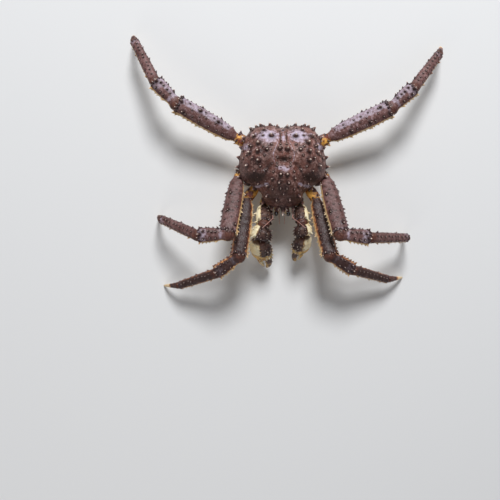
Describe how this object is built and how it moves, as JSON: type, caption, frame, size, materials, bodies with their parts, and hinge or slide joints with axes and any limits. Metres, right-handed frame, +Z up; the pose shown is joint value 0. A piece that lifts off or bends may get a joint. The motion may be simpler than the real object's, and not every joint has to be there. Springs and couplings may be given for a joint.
{
  "type": "red king crab",
  "caption": "Life-size still model of a spiny king crab standing on its walking legs, with one claw larger than the other.",
  "frame": {"origin": "middle of the bounding box, at floor level", "axes": "+X the crab's own left, -Y the way it faces, +Z up"},
  "size_m": [0.6654, 0.5424, 0.1404],
  "materials": {
    "back_shell": "spiny shell, dark plum red, wet sheen",
    "limb_shell": "spiny shell, plum brown above and cream below, wet sheen",
    "underside": "smooth shell, cream and orange, satin",
    "claw": "shell, brown above and yellow cream below, pale tips",
    "eye": "black, wet gloss",
    "feeler": "pinkish brown, satin"
  },
  "bodies": {
    "root": {"leg1_left_hip": "limb_shell", "leg1_left_merus": "limb_shell", "leg1_left_carpus": "limb_shell", "leg1_left_propodus": "limb_shell", "leg1_left_dactyl": "limb_shell", "leg2_left_hip": "limb_shell", "leg2_left_merus": "limb_shell", "leg2_left_carpus": "limb_shell", "leg2_left_propodus": "limb_shell", "leg2_left_dactyl": "limb_shell", "leg3_left_hip": "limb_shell", "leg3_left_merus": "limb_shell", "leg3_left_carpus": "limb_shell", "leg3_left_propodus": "limb_shell", "leg3_left_dactyl": "limb_shell", "claw_left_hip": "limb_shell", "claw_left_merus": "limb_shell", "claw_left_carpus": "limb_shell", "claw_left_palm": "claw", "claw_left_finger": "claw", "eye_left": "eye", "eyestalk_left": "back_shell", "antenna_left": "feeler", "antennule_left": "feeler", "maxilliped_left": "feeler", "leg1_right_hip": "limb_shell", "leg1_right_merus": "limb_shell", "leg1_right_carpus": "limb_shell", "leg1_right_propodus": "limb_shell", "leg1_right_dactyl": "limb_shell", "leg2_right_hip": "limb_shell", "leg2_right_merus": "limb_shell", "leg2_right_carpus": "limb_shell", "leg2_right_propodus": "limb_shell", "leg2_right_dactyl": "limb_shell", "leg3_right_hip": "limb_shell", "leg3_right_merus": "limb_shell", "leg3_right_carpus": "limb_shell", "leg3_right_propodus": "limb_shell", "leg3_right_dactyl": "limb_shell", "claw_right_hip": "limb_shell", "claw_right_merus": "limb_shell", "claw_right_carpus": "limb_shell", "claw_right_palm": "claw", "claw_right_finger": "claw", "eye_right": "eye", "eyestalk_right": "back_shell", "antenna_right": "feeler", "antennule_right": "feeler", "maxilliped_right": "feeler", "abdomen_1": "underside", "abdomen_2": "underside", "abdomen_3": "underside", "telson": "underside", "carapace": "back_shell", "thorax": "underside"}
  },
  "joints": []
}
